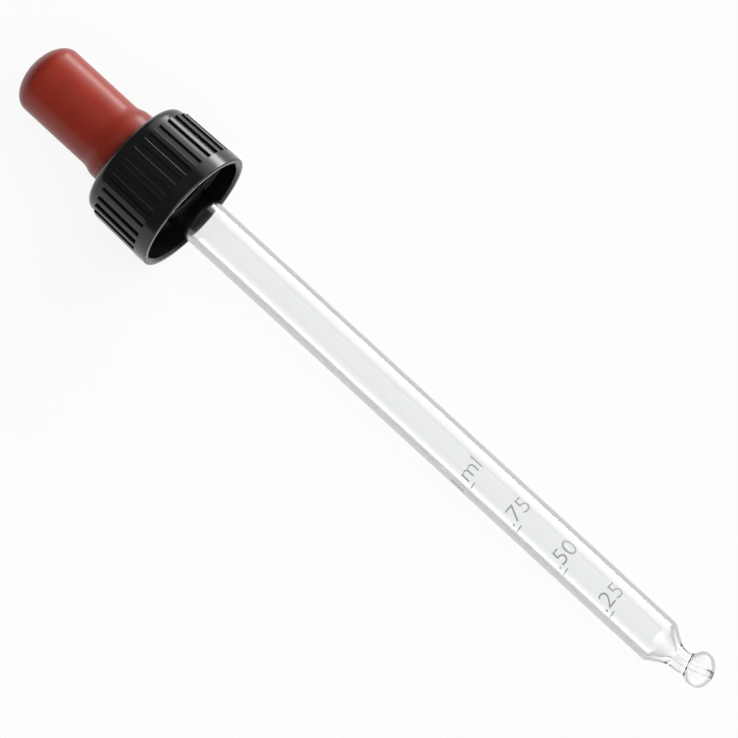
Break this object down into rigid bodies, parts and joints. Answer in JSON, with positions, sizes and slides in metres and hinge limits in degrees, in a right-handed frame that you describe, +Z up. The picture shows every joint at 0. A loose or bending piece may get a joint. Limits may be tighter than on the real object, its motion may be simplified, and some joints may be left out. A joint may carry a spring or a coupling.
{
  "type": "dropper pipette",
  "caption": "Dropper for a small bottle: soft rubber bulb, ribbed screw cap and a clear graduated tube with a bent ball tip.",
  "frame": {"origin": "bench level under the middle of the dropper as it lies on its side", "axes": "+X along the dropper towards its tip, which dips by about 4 degrees; +Z up; the tip bends towards +Y"},
  "size_m": [0.1326, 0.02, 0.0204],
  "materials": {
    "red_rubber": "soft matte brick red",
    "black_plastic": "moulded, glossy black",
    "clear_glass": "clear, with a pale grey printed scale"
  },
  "bodies": {
    "root": {"rubber_bulb": "red_rubber", "screw_cap": "black_plastic", "graduated_tube": "clear_glass"}
  },
  "joints": []
}
